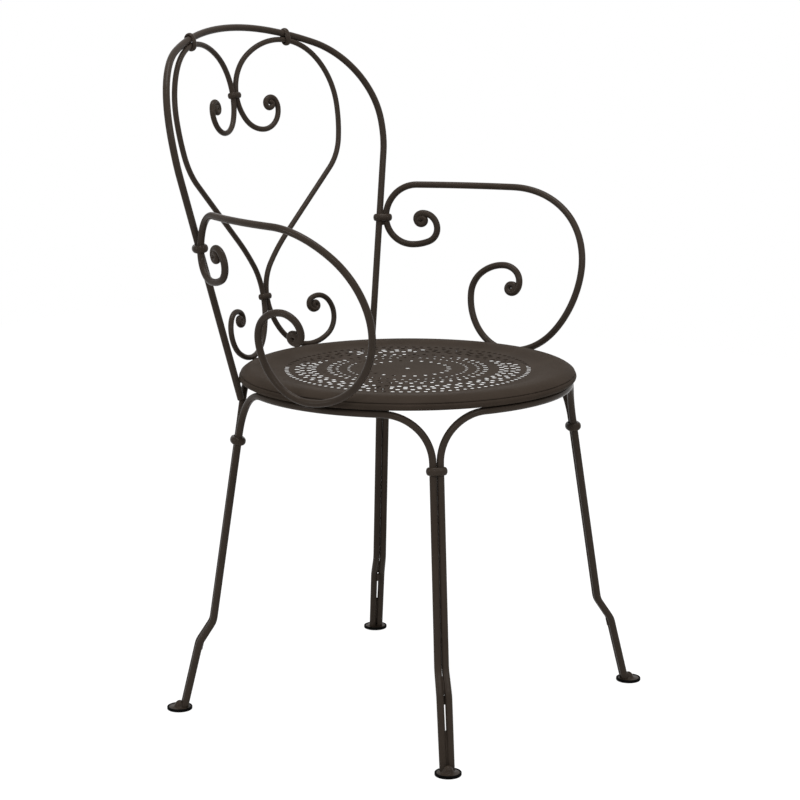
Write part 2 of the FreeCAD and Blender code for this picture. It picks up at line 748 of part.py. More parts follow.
slope_turn = math.degrees(math.atan(size("leg_slope")))
foot_turn = math.degrees(math.atan(size("foot_slope")))
for name, bearing in LEGS.items():
    radial = size("leg_top_radius") + size("leg_slope") * (size("leg_top") - size("collar_height"))
    turn = Rotation(Vector(0, 0, 1), bearing + 90) * Rotation(Vector(1, 0, 0), -slope_turn)
    place_part(leg_collar("leg_collar_" + name),
               leg_point(bearing, radial, 0, size("collar_height")), turn)
    spacer = doc.addObject("Part::Cylinder", "kink_spacer_" + name)
    spacer.Label = "kink_spacer_" + name
    spacer.Radius = size("spacer_diameter") / 2
    spacer.Height = size("spacer_length")
    spacer.setExpression("Radius", "Sizes.spacer_diameter / 2")
    spacer.setExpression("Height", "Sizes.spacer_length")
    reach = ROD + size("spacer_diameter") / 2
    inward = math.sqrt(reach * reach - rod_offset("spread_gap") ** 2)
    top = leg_point(bearing, KINK_LOW - inward, 0, size("kink_height"))
    turn = Rotation(Vector(0, 0, 1), bearing + 90) * Rotation(Vector(1, 0, 0), 180 - foot_turn)
    place_part(spacer, top, turn)

left_hoop = hoop_nodes()
hoop = bent_rod(left_hoop + backwards(mirror_nodes(left_hoop))[1:], ROD)
hoop = hoop.cut(arches["rear"])
add_shape("back_hoop", hoop)

left_scroll = on_surface(scroll_surface, scroll_outline())
scrolls = {}
for name, nodes in (("left", left_scroll), ("right", mirror_nodes(left_scroll))):
    scrolls[name] = add_shape("heart_scroll_" + name, bent_rod(nodes, SCROLL_ROD))

for name, up in (("lower", size("scroll_collar_low")), ("upper", size("scroll_collar_high"))):
    point = scroll_surface(SCROLL_ROD, up)
    way = Vector(0, size("scroll_lean"), 1).normalize()
    beside = Vector(-point.x, point.y, point.z)
    add_shape("scroll_collar_" + name, band_round_rods(
        (beside, way, SCROLL_ROD), (point, way, SCROLL_ROD),
        size("band_wall"), size("band_wall"), size("band_tall")))

left_arm = on_surface(arm_surface, arm_outline())
arms = {}
for name, nodes in (("left", left_arm), ("right", mirror_nodes(left_arm))):
    arms[name] = add_shape("arm_" + name, bent_rod(nodes, ROD))


def mirror_rod(rod):
    """Point, direction and radius of a rod on the other side of the chair."""
    point, way, radius = rod
    return Vector(-point.x, point.y, point.z), Vector(-way.x, way.y, way.z), radius


def surface_way(surface, across, up, heading):
    """Direction in space of a heading on a surface."""
    return on_surface(surface, [(across, up, heading)])[0][1]


joint_rise, clip_side = size("arm_joint_rise"), size("clip_side")
side_foot, side_top = hoop_side()
hoop_by_arm = (hoop_side_point(joint_rise), (side_top - side_foot).normalize(), ROD)
arm_by_hoop = (arm_joint(), surface_way(arm_surface, arm_joint().y, joint_rise, RISE), ROD)
crown_height, crown_round = hoop_top(clip_side)
crown_way = (math.sqrt(crown_round ** 2 - clip_side ** 2), -clip_side)
hoop_by_clip = (hoop_surface(clip_side, crown_height),
                surface_way(hoop_surface, clip_side, crown_height, crown_way), ROD)
scroll_top = size("scroll_collar_high") + size("scroll_arch") - size("clip_drop")
scroll_by_clip = (scroll_surface(clip_side, scroll_top),
                  surface_way(scroll_surface, clip_side, scroll_top, crown_way), SCROLL_ROD)
for name, mirrored in (("left", False), ("right", True)):
    collar_rods, clip_rods = (hoop_by_arm, arm_by_hoop), (scroll_by_clip, hoop_by_clip)
    if mirrored:
        collar_rods = [mirror_rod(rod) for rod in collar_rods]
        clip_rods = [mirror_rod(rod) for rod in clip_rods]
    wall = (size("collar_width") - size("pair_gap")) / 2 - size("rod_diameter")
    side_wall = size("collar_depth") / 2 - ROD
    add_shape("arm_collar_" + name, band_round_rods(
        collar_rods[0], collar_rods[1], wall, side_wall, size("collar_tall")))
    add_shape("hoop_clip_" + name, band_round_rods(
        clip_rods[0], clip_rods[1], size("band_wall"), size("band_wall"), size("band_tall")))

doc.recompute()
for item in doc.Objects:
    if "Invalid" in item.State or "Error" in item.State:
        raise ValueError("%s is %s" % (item.Name, item.State))
os.makedirs("parts", exist_ok=True)
for item in parts:
    shape = item.Shape
    if shape.isNull() or not shape.isValid() or shape.Volume < 1:
        raise ValueError(item.Label + " has no valid shape")
    shape.exportStep("parts/%s.step" % item.Label)
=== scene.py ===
import bmesh
import bpy
import math
import numpy as np
from mathutils import Matrix, Vector
from mathutils.bvhtree import BVHTree
from mathutils.geometry import delaunay_2d_cdt

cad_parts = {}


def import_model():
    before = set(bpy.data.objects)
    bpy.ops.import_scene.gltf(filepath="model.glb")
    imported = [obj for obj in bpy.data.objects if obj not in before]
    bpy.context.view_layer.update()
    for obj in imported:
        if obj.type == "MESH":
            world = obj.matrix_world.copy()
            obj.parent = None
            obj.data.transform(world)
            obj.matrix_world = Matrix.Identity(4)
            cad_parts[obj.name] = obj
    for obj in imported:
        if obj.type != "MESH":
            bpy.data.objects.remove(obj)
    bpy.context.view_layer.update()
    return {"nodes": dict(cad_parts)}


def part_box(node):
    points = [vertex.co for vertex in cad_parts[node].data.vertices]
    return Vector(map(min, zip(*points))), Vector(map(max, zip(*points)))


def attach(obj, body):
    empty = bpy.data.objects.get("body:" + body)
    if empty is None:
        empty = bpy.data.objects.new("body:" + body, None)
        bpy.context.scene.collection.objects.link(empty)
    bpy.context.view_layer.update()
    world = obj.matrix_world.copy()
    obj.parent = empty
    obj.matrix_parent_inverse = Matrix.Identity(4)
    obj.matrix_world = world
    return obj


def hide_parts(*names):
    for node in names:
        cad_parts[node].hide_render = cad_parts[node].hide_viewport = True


# Garden armchair of bent steel rod with a pierced round seat. Lengths are in metres.
# +Z is up, the sitter faces -Y and +X is the sitter's left.

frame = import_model()
MM = 0.001
SAME_PLACE = 1e-7

SEAT_LOW, SEAT_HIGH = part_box("seat_pan")
SEAT_RADIUS = (SEAT_HIGH.x - SEAT_LOW.x) / 2
SEAT_TOP = SEAT_HIGH.z
SEAT_AXIS = Vector((0, (SEAT_LOW.y + SEAT_HIGH.y) / 2, 0))
ROD_RADIUS = 4.5 * MM
SCROLL_ROD_RADIUS = 3.6 * MM
LEGS = ("rear_left", "rear_right", "front_right", "front_left")
SIDES = ("left", "right")
ARCHES = ("leg_arch_front", "leg_arch_rear", "leg_arch_left", "leg_arch_right")
CURLED_RODS = ("arm_left", "arm_right", "heart_scroll_left", "heart_scroll_right")


# Materials

COAT_DARK = (0.0365, 0.0277, 0.0213)
COAT_LIGHT = (0.0445, 0.0338, 0.0261)
PLASTIC_DARK = (0.002, 0.002, 0.002)
PLASTIC_LIGHT = (0.005, 0.0047, 0.0044)


def node_of(tree, kind, **inputs):
    """New shader node with its sockets set by name."""
    node = tree.nodes.new(kind)
    for name, value in inputs.items():
        node.inputs[name.replace("_", " ")].default_value = value
    return node


def noise_of(tree, place, scale, detail, rough=0.55):
    """Noise in object space; scale counts bumps per metre."""
    noise = node_of(tree, "ShaderNodeTexNoise", Scale=scale, Detail=detail, Roughness=rough)
    tree.links.new(place.outputs["Object"], noise.inputs["Vector"])
    return noise


def ramp_of(tree, source, stops):
    """Colour ramp fed by a factor; stops are a position and a colour or a grey."""
    ramp = tree.nodes.new("ShaderNodeValToRGB")
    points = ramp.color_ramp.elements
    while len(points) < len(stops):
        points.new(0.5)
    for point, (position, colour) in zip(points, stops):
        point.position = position
        point.color = (*colour, 1) if isinstance(colour, tuple) else (colour, colour, colour, 1)
    tree.links.new(source, ramp.inputs["Fac"])
    return ramp


def grain_finish(tree, shader, grain, smoothest, roughest, depth, strength):
    """Roughness and fine relief of a surface, both driven by one grain."""
    gloss = ramp_of(tree, grain.outputs["Fac"], [(0.3, smoothest), (0.7, roughest)])
    tree.links.new(gloss.outputs["Color"], shader.inputs["Roughness"])
    bump = node_of(tree, "ShaderNodeBump", Strength=strength, Distance=depth)
    tree.links.new(grain.outputs["Fac"], bump.inputs["Height"])
    tree.links.new(bump.outputs["Normal"], shader.inputs["Normal"])


def powder_coat(name, shine, smoothest, roughest):
    """Dark brown satin powder coat with a fine orange peel and slight shade drift."""
    material = bpy.data.materials.new(name)
    material.use_nodes = True
    tree = material.node_tree
    shader = tree.nodes["Principled BSDF"]
    place = tree.nodes.new("ShaderNodeTexCoord")
    drift = noise_of(tree, place, scale=22, detail=4)
    speck = noise_of(tree, place, scale=2600, detail=2)
    peel = noise_of(tree, place, scale=900, detail=3, rough=0.5)
    shade = ramp_of(tree, drift.outputs["Fac"], [(0.3, COAT_DARK), (0.7, COAT_LIGHT)])
    fleck = ramp_of(tree, speck.outputs["Fac"], [(0.35, 0.92), (0.65, 1.0)])
    blend = tree.nodes.new("ShaderNodeMix")
    blend.data_type = "RGBA"
    blend.blend_type = "MULTIPLY"
    blend.inputs["Factor"].default_value = 1
    tree.links.new(shade.outputs["Color"], blend.inputs["A"])
    tree.links.new(fleck.outputs["Color"], blend.inputs["B"])
    tree.links.new(blend.outputs["Result"], shader.inputs["Base Color"])
    grain_finish(tree, shader, peel, smoothest, roughest, depth=0.12 * MM, strength=0.06)
    shader.inputs["Specular IOR Level"].default_value = shine
    return material


def glide_plastic():
    """Black moulded plastic with a fine matt grain and a trace of dust."""
    material = bpy.data.materials.new("black_glide_plastic")
    material.use_nodes = True
    tree = material.node_tree
    shader = tree.nodes["Principled BSDF"]
    place = tree.nodes.new("ShaderNodeTexCoord")
    grain = noise_of(tree, place, scale=1800, detail=2)
    dust = noise_of(tree, place, scale=90, detail=4)
    shade = ramp_of(tree, dust.outputs["Fac"], [(0.35, PLASTIC_DARK), (0.75, PLASTIC_LIGHT)])
    tree.links.new(shade.outputs["Color"], shader.inputs["Base Color"])
    grain_finish(tree, shader, grain, smoothest=0.55, roughest=0.75, depth=0.1 * MM, strength=0.15)
    shader.inputs["Specular IOR Level"].default_value = 0.02
    return material


ROD_COAT = powder_coat("brown_rod_coat", shine=0.04, smoothest=0.2, roughest=0.26)
SEAT_COAT = powder_coat("brown_seat_coat", shine=0.008, smoothest=0.48, roughest=0.6)
PLASTIC = glide_plastic()
for name, node in frame["nodes"].items():
    finish = PLASTIC if name.startswith("foot_glide") else ROD_COAT
    node.data.materials.clear()
    node.data.materials.append(finish)


# Pieces and the forms they are made of

def add_piece(name, mesh, nodes, material=ROD_COAT, smooth=38):
    """Object that stands for the named nodes; edges sharper than smooth degrees stay sharp."""
    piece = bpy.data.objects.new(name, mesh)
    bpy.context.scene.collection.objects.link(piece)
    mesh.polygons.foreach_set("use_smooth", [True] * len(mesh.polygons))
    mesh.set_sharp_from_angle(angle=math.radians(smooth))
    mesh.materials.clear()
    mesh.materials.append(material)
    if nodes:
        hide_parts(*nodes)
    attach(piece, "root")
    return piece


def mesh_from(bm, name):
    """Mesh of a finished form, its faces turned outward."""
    mesh = bpy.data.meshes.new(name)
    bmesh.ops.recalc_face_normals(bm, faces=bm.faces)
    bm.to_mesh(mesh)
    bm.free()
    return mesh


def turned_to(bm, name, middle, axis):
    """Mesh of a lathed form whose upright axis is laid along the given one."""
    mesh = mesh_from(bm, name)
    mesh.transform(Matrix.Translation(middle) @ axis.to_track_quat("Z", "Y").to_matrix().to_4x4())
    return mesh


def polar(radius, bearing):
    """Point at a radius and a bearing in degrees."""
    turn = math.radians(bearing)
    return Vector((radius * math.cos(turn), radius * math.sin(turn)))


def arc_points(centre, radius, start, end, steps):
    """Points of an arc in a plane, both ends included; angles in degrees."""
    turns = [math.radians(start + (end - start) * step / steps) for step in range(steps + 1)]
    return [(centre[0] + radius * math.cos(turn), centre[1] + radius * math.sin(turn))
            for turn in turns]


def skin_rings(bm, rings, joined=False):
    """Faces between successive rings of vertices; joined also links the last to the first."""
    pairs = list(zip(rings, rings[1:])) + ([(rings[-1], rings[0])] if joined else [])
    for low, high in pairs:
        count = len(low)
        for index in range(count):
            after = (index + 1) % count
            bm.faces.new((low[index], low[after], high[after], high[index]))


def lathe(profile, segments, centre=Vector()):
    """Surface turned about the upright axis from (radius, height) points."""
    bm = bmesh.new()
    rings = []
    for radius, height in profile:
        if radius < SAME_PLACE:
            rings.append([bm.verts.new(centre + Vector((0, 0, height)))])
            continue
        rings.append([bm.verts.new(centre + Vector((
            radius * math.cos(2 * math.pi * step / segments),
            radius * math.sin(2 * math.pi * step / segments), height)))
            for step in range(segments)])
    for low, high in zip(rings, rings[1:]):
        if len(low) == 1 or len(high) == 1:
            tip, ring = (low[0], high) if len(low) == 1 else (high[0], low)
            for index in range(segments):
                bm.faces.new((tip, ring[index], ring[(index + 1) % segments]))
        else:
            skin_rings(bm, [low, high])
    return bm


def own_axes(node):
    """Middle of a node, its directions from the longest to the shortest and its half sizes."""
    points = np.array([tuple(vert.co) for vert in frame["nodes"][node].data.vertices])
    spread = points - (points.min(axis=0) + points.max(axis=0)) / 2
    ways = np.linalg.svd(spread - spread.mean(axis=0), full_matrices=False)[2]
    along = points @ ways.T
    low, high = along.min(axis=0), along.max(axis=0)
    order = np.argsort(low - high)
    middle = Vector((low + high) / 2 @ ways)
    halves = [(high - low)[index] / 2 for index in order]
    return middle, [Vector(ways[index]) for index in order], halves


# Seat

FIELD_RADIUS = 160 * MM
FIELD_DROP = 3 * MM
CENTRE_HOLE_RADIUS = 3 * MM
CENTRE_HOLE_SEGMENTS = 12
HOLE_CORNER = 0.28
SHEET = 0.5 * MM
RIM_SEGMENTS = 192

HOLE_ROWS = [
    # middle radius, length and width in millimetres, holes in the row, offset in pitches
    (52.7, 6, 4.2, 24, 0),
    (75.5, 3.6, 3.8, 48, 0),
    (90.2, 3.8, 4, 48, 0.5),
    (99.8, 6.2, 4.4, 48, 0),
    (120, 6.2, 5.4, 48, 0),
    (126, 6.2, 5.4, 48, 0.5),
    (134.8, 6.3, 5.4, 48, 0.5),
    (141, 6.3, 5.4, 48, 0),
    (154.4, 5.4, 4.6, 96, 0.5),
]


def slot_outline(middle, length, width, bearing):
    """Radial slot with rounded corners, its middle at the given radius and bearing."""
    corner = min(length, width) * HOLE_CORNER
    half_long, half_wide = length / 2 - corner, width / 2 - corner
    corners = [(half_long, half_wide, 0), (-half_long, half_wide, 90),
               (-half_long, -half_wide, 180), (half_long, -half_wide, 270)]
    turn = math.radians(bearing)
    points = []
    for along, aside, start in corners:
        for x, y in arc_points((along, aside), corner, start, start + 90, 2):
            x += middle
            points.append(Vector((x * math.cos(turn) - y * math.sin(turn),
                                  x * math.sin(turn) + y * math.cos(turn))))
    return points


def seat_holes():
    """Outlines of the centre hole and of the pierced pattern, row by row."""
    outlines = [[polar(CENTRE_HOLE_RADIUS, 360 * step / CENTRE_HOLE_SEGMENTS)
                 for step in range(CENTRE_HOLE_SEGMENTS)]]
    for middle, length, width, count, offset in HOLE_ROWS:
        for step in range(count):
            bearing = (step + offset) * 360 / count
            outlines.append(slot_outline(middle * MM, length * MM, width * MM, bearing))
    return outlines


def pierced_field(bm, height):
    """Flat field with the holes left out; returns its outer ring of vertices."""
    outer = [polar(FIELD_RADIUS, 360 * step / RIM_SEGMENTS) for step in range(RIM_SEGMENTS)]
    points, edges, loop_of = [], [], []
    for number, loop in enumerate([outer] + seat_holes()):
        first = len(points)
        points += loop
        loop_of += [number] * len(loop)
        edges += [(first + index, first + (index + 1) % len(loop)) for index in range(len(loop))]
    made = delaunay_2d_cdt(points, edges, [], 0, 1e-9)
    coords, faces, origins = made[0], made[2], made[3]
    verts = [bm.verts.new(Vector((point.x, point.y, height)) + SEAT_AXIS) for point in coords]
    source = {index: loop_of[old[0]] for index, old in enumerate(origins) if old}
    for face in faces:
        # A face with all its corners on one hole's outline lies inside that hole.
        owners = {source.get(index) for index in face}
        if len(owners) == 1 and owners != {0}:
            continue
        bm.faces.new([verts[index] for index in face])
    ring = [verts[index] for index in range(len(coords)) if source.get(index) == 0]
    ring.sort(key=lambda vert: math.atan2(vert.co.y - SEAT_AXIS.y, vert.co.x) % (2 * math.pi))
    return ring


def seat_section():
    """Section of the sheet outside the field as (radius, height) points in millimetres."""
    rim, top = SEAT_RADIUS / MM, SEAT_TOP / MM

    # S-shaped band that rises from the field to the crown
    band_start, band_run, band_rise = 161, 36, 4
    band_end = band_start + band_run
    crown = top + 1
    sweep = (band_run * band_run / 4 + band_rise * band_rise / 4) / band_rise
    turn = math.degrees(math.asin(band_run / 2 / sweep))
    section = [(band_start, crown - band_rise)]
    section += arc_points((band_start, crown - band_rise + sweep), sweep, 270, 270 + turn, 6)[1:]
    section += arc_points((band_end, crown - sweep), sweep, 90 + turn, 90, 6)[1:]

    # Shoulder that falls from the crown to the crease above the rim
    crease_radius, crease_height = rim - 2.6, top - 5.6
    shoulder_fall = 5.6
    shoulder_run = crease_radius - band_end
    slope = 2 * math.atan(shoulder_fall / shoulder_run)
    shoulder = shoulder_run / math.sin(slope)
    section += arc_points((band_end, crown - shoulder), shoulder,
                          90, 90 - math.degrees(slope), 8)[1:]
    crease = [(0.55, 0.45), (0.75, -0.1), (0.5, -0.6), (-0.6, -0.9)]
    section += [(crease_radius + out, crease_height + up) for out, up in crease]

    # Rolled rim and the flat lip under it
    roll, roll_height = 4.6, top - 10.5
    lip_height = roll_height - roll
    lip_start, lip_end = 9, 13.5
    section += arc_points((rim - roll, roll_height), roll, 58, -90, 14)
    section += [(rim - lip_start, lip_height), (rim - lip_end, lip_height)]
    return section


def seat():
    """Pressed seat: pierced field, sloping band, rounded rim and curled lip."""
    bm = bmesh.new()
    rings = [pierced_field(bm, SEAT_TOP - FIELD_DROP)]
    for radius, height in seat_section():
        centre = SEAT_AXIS + Vector((0, 0, height * MM))
        rings.append([bm.verts.new(polar(radius * MM, 360 * step / RIM_SEGMENTS).to_3d() + centre)
                      for step in range(RIM_SEGMENTS)])
    skin_rings(bm, rings)
    mesh = mesh_from(bm, "seat_pressed")
    piece = add_piece("seat_pressed", mesh, ["seat_pan"], material=SEAT_COAT)
    thick = piece.modifiers.new("sheet", "SOLIDIFY")
    thick.thickness = SHEET
    thick.offset = -1
    edge = piece.modifiers.new("edge", "BEVEL")
    edge.width = SHEET / 2
    edge.segments = 2
    edge.limit_method = "ANGLE"
    edge.angle_limit = math.radians(55)
    even = piece.modifiers.new("even", "WEIGHTED_NORMAL")
    even.keep_sharp = True


# Curl tips

TIP_TURN = 170
TIP_SEGMENTS = 32
TIP_NOSE = 0.5
END_ANGLE = math.radians(60)


def rod_ends(node):
    """Middle, outward direction and radius of each flat end of a rod, the lowest first."""
    bm = bmesh.new()
    bm.from_mesh(frame["nodes"][node].data)
    bmesh.ops.remove_doubles(bm, verts=bm.verts, dist=SAME_PLACE)
    bm.verts.index_update()
    bm.faces.index_update()
    rims = {edge for edge in bm.edges if edge.calc_face_angle(0) > END_ANGLE}
    ends = []
    while rims:
        loop, waiting = set(), [next(iter(rims))]
        while waiting:
            edge = waiting.pop()
            if edge in rims:
                rims.remove(edge)
                loop.update(edge.verts)
                waiting += [other for vert in edge.verts for other in vert.link_edges]
        rim = sorted(loop, key=lambda vert: vert.index)
        middle = sum((vert.co for vert in rim), Vector()) / len(rim)
        cap = min((face for vert in rim for face in vert.link_faces if loop.issuperset(face.verts)),
                  key=lambda face: face.index)
        radius = sum((vert.co - middle).length for vert in rim) / len(rim)
        ends.append((middle, cap.normal.copy(), radius))
    bm.free()
    return sorted(ends, key=lambda end: end[0].z)


def curl_tip(name, node, end):
    """Last turn of a scrolled rod, rolled into the eye of its curl and closed by a blunt nose."""
    middle, ahead, radius = end
    nearby = 3.2 * radius
    near = [vert.co for vert in frame["nodes"][node].data.vertices
            if (vert.co - middle).length < nearby]
    inward = sum(near, Vector()) / len(near) - middle
    inward = (inward - ahead * inward.dot(ahead)).normalized()
    side = ahead.cross(inward)
    bend = 0.97 * radius
    stations = [(turn, 0, 1) for turn in range(0, TIP_TURN + 1, 10)]
    stations += [(TIP_TURN, TIP_NOSE * math.sin(math.radians(tilt)), math.cos(math.radians(tilt)))
                 for tilt in (20, 40, 60, 75)]
    bm = bmesh.new()
    rings = []
    for turn, forward, share in stations:
        angle = math.radians(turn)
        way = ahead * math.cos(angle) + inward * math.sin(angle)
        out = inward * math.cos(angle) - ahead * math.sin(angle)
        centre = middle + inward * bend - out * bend + way * radius * forward
        ring = []
        for step in range(TIP_SEGMENTS):
            around = 2 * math.pi * step / TIP_SEGMENTS
            spoke = out * math.cos(around) + side * math.sin(around)
            ring.append(bm.verts.new(centre + spoke * radius * share))
        rings.append(ring)
    skin_rings(bm, rings)
    bm.faces.new(rings[0])
    bm.faces.new(rings[-1])
    add_piece(name, mesh_from(bm, name), [])


# Welds

UPWARD = Vector((0, 0, 1))
SIDEWAYS = Vector((1, 0, 0))
RIM_WELDS = (("arm_left", UPWARD), ("arm_right", UPWARD), ("back_hoop", UPWARD),
             ("heart_scroll_left", SIDEWAYS), ("heart_scroll_right", SIDEWAYS))
RIM_REACH = 2.2 * MM
LEG_REACH = 60 * MM
SEAM_HALF_THICK = 1.9 * MM


def weld(name, middle, axis, half_long, half_thick):
    """Rippled weld bead."""
    half_steps, ripple_depth, ripple_rate = 12, 0.08, 15
    profile = []
    for step in range(2 * half_steps + 1):
        place = -1 + step / half_steps
        ripple = 1 + ripple_depth * math.cos(ripple_rate * place)
        profile.append((half_thick * math.sqrt(1 - place * place) * ripple, half_long * place))
    add_piece(name, turned_to(lathe(profile, 24), name, middle, axis), [], smooth=60)


def pair_middle(place, low, high):
    """Middle of the two leg rods near a place, between two heights above the floor."""
    near = [vert.co for arch in ARCHES for vert in frame["nodes"][arch].data.vertices
            if low < vert.co.z < high and (vert.co - place).xy.length < LEG_REACH]
    return sum(near, Vector()) / len(near)


def leg_welds(leg):
    """Seam that closes the pair of rods above the foot, and the bead above the spacer."""
    spacer = own_axes("kink_spacer_" + leg)[0]
    base = pair_middle(spacer, -1 * MM, 15 * MM)
    lower_bend = pair_middle(spacer, spacer.z - 8 * MM, spacer.z + 14 * MM)
    upper_bend = pair_middle(spacer, spacer.z + 22 * MM, spacer.z + 45 * MM)
    upward = (lower_bend - base).normalized()
    slant = (upper_bend - lower_bend).normalized()
    half_seam, half_bead, bead_place = 23 * MM, 12 * MM, 0.4
    weld("weld_foot_" + leg, base + upward * half_seam, upward, half_seam, SEAM_HALF_THICK)
    weld("weld_kink_" + leg, lower_bend.lerp(upper_bend, bead_place), slant,
         half_bead, SEAM_HALF_THICK)


def rim_contact(node):
    """Middle of the places where a rod meets the seat's rim, by side: 1 is left, -1 is right."""
    mesh = frame["nodes"][node].data
    tree = BVHTree.FromPolygons([vert.co for vert in mesh.vertices],
                                [face.vertices for face in mesh.polygons])
    found = {1: [], -1: []}
    for vert in frame["nodes"]["seat_pan"].data.vertices:
        hit = tree.find_nearest(vert.co, RIM_REACH)[0]
        if hit is not None:
            found[1 if hit.x > 0 else -1].append((vert.co + hit) / 2)
    return {way: sum(hits, Vector()) / len(hits) for way, hits in found.items() if hits}


def rim_welds(node, axis):
    """Small beads that hold a rod to the seat's rim."""
    for way, place in rim_contact(node).items():
        side = "left" if way > 0 else "right"
        weld("weld_%s_%s" % (node, side), place, axis, half_long=4.5 * MM, half_thick=2 * MM)


def collar_welds(side):
    """Beads above and below the collar that holds an arm to the hoop."""
    middle, ways, halves = own_axes("arm_collar_" + side)
    axis = ways[2] if ways[2].z > 0 else -ways[2]
    clear = 1.2 * MM
    for number, way in ((1, 1), (2, -1)):
        place = middle + axis * way * (halves[2] + clear)
        name = "weld_arm_collar_%s_%d" % (side, number)
        weld(name, place, axis, half_long=4.5 * MM, half_thick=2.4 * MM)


# Collars, clips and spacers

def band_mesh(name, middle, axis, across, extents, hollow):
    """Rounded bead band; hollow is the half length and radius of its oblong inside."""
    segments, levels = 64, 12
    squareness, fullness, waist, mouth, flat_fade = 2.25, 0.85, 0.15, 0.84, 3
    aside = axis.cross(across)
    half_wide, half_deep, half_tall = extents
    half, radius = hollow
    bm = bmesh.new()
    rings = []
    for step in range(segments):
        turn = 2 * math.pi * step / segments
        c, s = math.cos(turn), math.sin(turn)
        power = 2 / squareness
        outer = Vector((math.copysign(abs(c) ** power, c) * half_wide,
                        math.copysign(abs(s) ** power, s) * half_deep))
        inner = Vector((math.copysign(half, c) * min(1, abs(c) * flat_fade) + radius * c,
                        radius * s))
        loop = []
        for level in range(levels + 1):
            lift = math.radians(-90 + 180 * level / levels)
            bulge = math.cos(lift) ** fullness if math.cos(lift) > 1e-6 else 0
            flat = inner.lerp(outer, waist + (1 - waist) * bulge)
            loop.append((flat, math.sin(lift) * half_tall))
        loop.append((inner, half_tall * mouth))
        loop.append((inner, -half_tall * mouth))
        rings.append([bm.verts.new(middle + across * flat.x + aside * flat.y + axis * height)
                      for flat, height in loop])
    skin_rings(bm, rings, joined=True)
    return mesh_from(bm, name)


def bead_band(node, half_length, radius):
    """Rounded bead that stands for one collar or clip, with its oblong inside."""
    middle, ways, halves = own_axes(node)
    across, axis = ways[0], ways[2]
    name = node + "_bead"
    mesh = band_mesh(name, middle, axis, across, halves, (half_length, radius))
    add_piece(name, mesh, [node], smooth=60)


def rounded_bar(node):
    """Short bar with rounded ends that stands for one spacer."""
    middle, ways, halves = own_axes(node)
    half_long, radius = halves[0], halves[2]
    soft = 0.35 * radius
    profile = [(0, -half_long)]
    profile += arc_points((radius - soft, soft - half_long), soft, -90, 0, 4)
    profile += arc_points((radius - soft, half_long - soft), soft, 0, 90, 4)
    profile += [(0, half_long)]
    name = node + "_bar"
    add_piece(name, turned_to(lathe(profile, 32), name, middle, ways[0]), [node])


# Feet

FOOT_SEGMENTS = 64
GLIDE_WALL = 2 * MM


def glide(leg, centre, radius, tall):
    """Black plastic glide: a shallow dish with rounded edges."""
    low_round, top_round, lip = 1.2 * MM, 0.7 * MM, 0.4 * MM
    dish_side, dish_middle = 1.8 * MM, 1.7 * MM
    bore = radius - GLIDE_WALL
    profile = [(0, 0), (radius - low_round, 0)]
    profile += arc_points((radius - low_round, low_round), low_round, -90, 0, 4)[1:]
    profile += arc_points((radius - top_round, tall - top_round), top_round, 0, 90, 4)
    profile += [(bore + lip, tall), (bore, tall - lip), (bore, dish_side), (0, dish_middle)]
    name = "glide_ring_" + leg
    mesh = mesh_from(lathe(profile, FOOT_SEGMENTS, centre), name)
    add_piece(name, mesh, ["foot_glide_" + leg], PLASTIC)


def cup(leg, centre, radius):
    """Steel plate that fills the glide, with a dome under the rods."""
    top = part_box("foot_cup_" + leg)[1].z
    plate, dome, edge_round = 3.6 * MM, 6.6 * MM, 0.8 * MM
    underside, clearance = 1.75 * MM, 0.02 * MM
    rise = top - plate
    profile = [(0, top)]
    profile += [(dome * math.sin(math.radians(turn)), plate + rise * math.cos(math.radians(turn)))
                for turn in range(10, 80, 10)]
    # Hollow round where the dome meets the plate
    profile += [(dome + 0.6 * MM, plate + 0.7 * MM), (dome + 1.8 * MM, plate + 0.1 * MM)]
    profile += arc_points((radius - edge_round, plate - edge_round), edge_round, 90, 0, 4)
    profile += [(radius - clearance, underside), (0, underside)]
    name = "cup_dome_" + leg
    mesh = mesh_from(lathe(profile, FOOT_SEGMENTS, centre), name)
    add_piece(name, mesh, ["foot_cup_" + leg])


def foot(leg):
    """Plastic glide and steel cup of one foot."""
    low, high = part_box("foot_glide_" + leg)
    centre = Vector(((low.x + high.x) / 2, (low.y + high.y) / 2, 0))
    radius = (high.x - low.x) / 2
    glide(leg, centre, radius, high.z)
    cup(leg, centre, radius - GLIDE_WALL)


# The chair

seat()
for leg in LEGS:
    bead_band("leg_collar_" + leg, 4.6 * MM, ROD_RADIUS)
    rounded_bar("kink_spacer_" + leg)
    leg_welds(leg)
    foot(leg)
for side in SIDES:
    bead_band("arm_collar_" + side, ROD_RADIUS, ROD_RADIUS)
    bead_band("hoop_clip_" + side, 4 * MM, ROD_RADIUS)
for level in ("lower", "upper"):
    bead_band("scroll_collar_" + level, SCROLL_ROD_RADIUS, SCROLL_ROD_RADIUS)
for rod in CURLED_RODS:
    for number, end in enumerate(rod_ends(rod), 1):
        curl_tip("%s_tip_%d" % (rod, number), rod, end)
for rod, axis in RIM_WELDS:
    rim_welds(rod, axis)
for side in SIDES:
    collar_welds(side)


# Floor, light and camera

FLOOR_REACH = 2.5
FLOOR_GREY = 0.92
FLOOR_GLOW = 1.19
GLOW_SHARE = 0.75
SKY_LIGHT = 0.34
LAMP_TARGET = Vector((0, 0, 0.45))


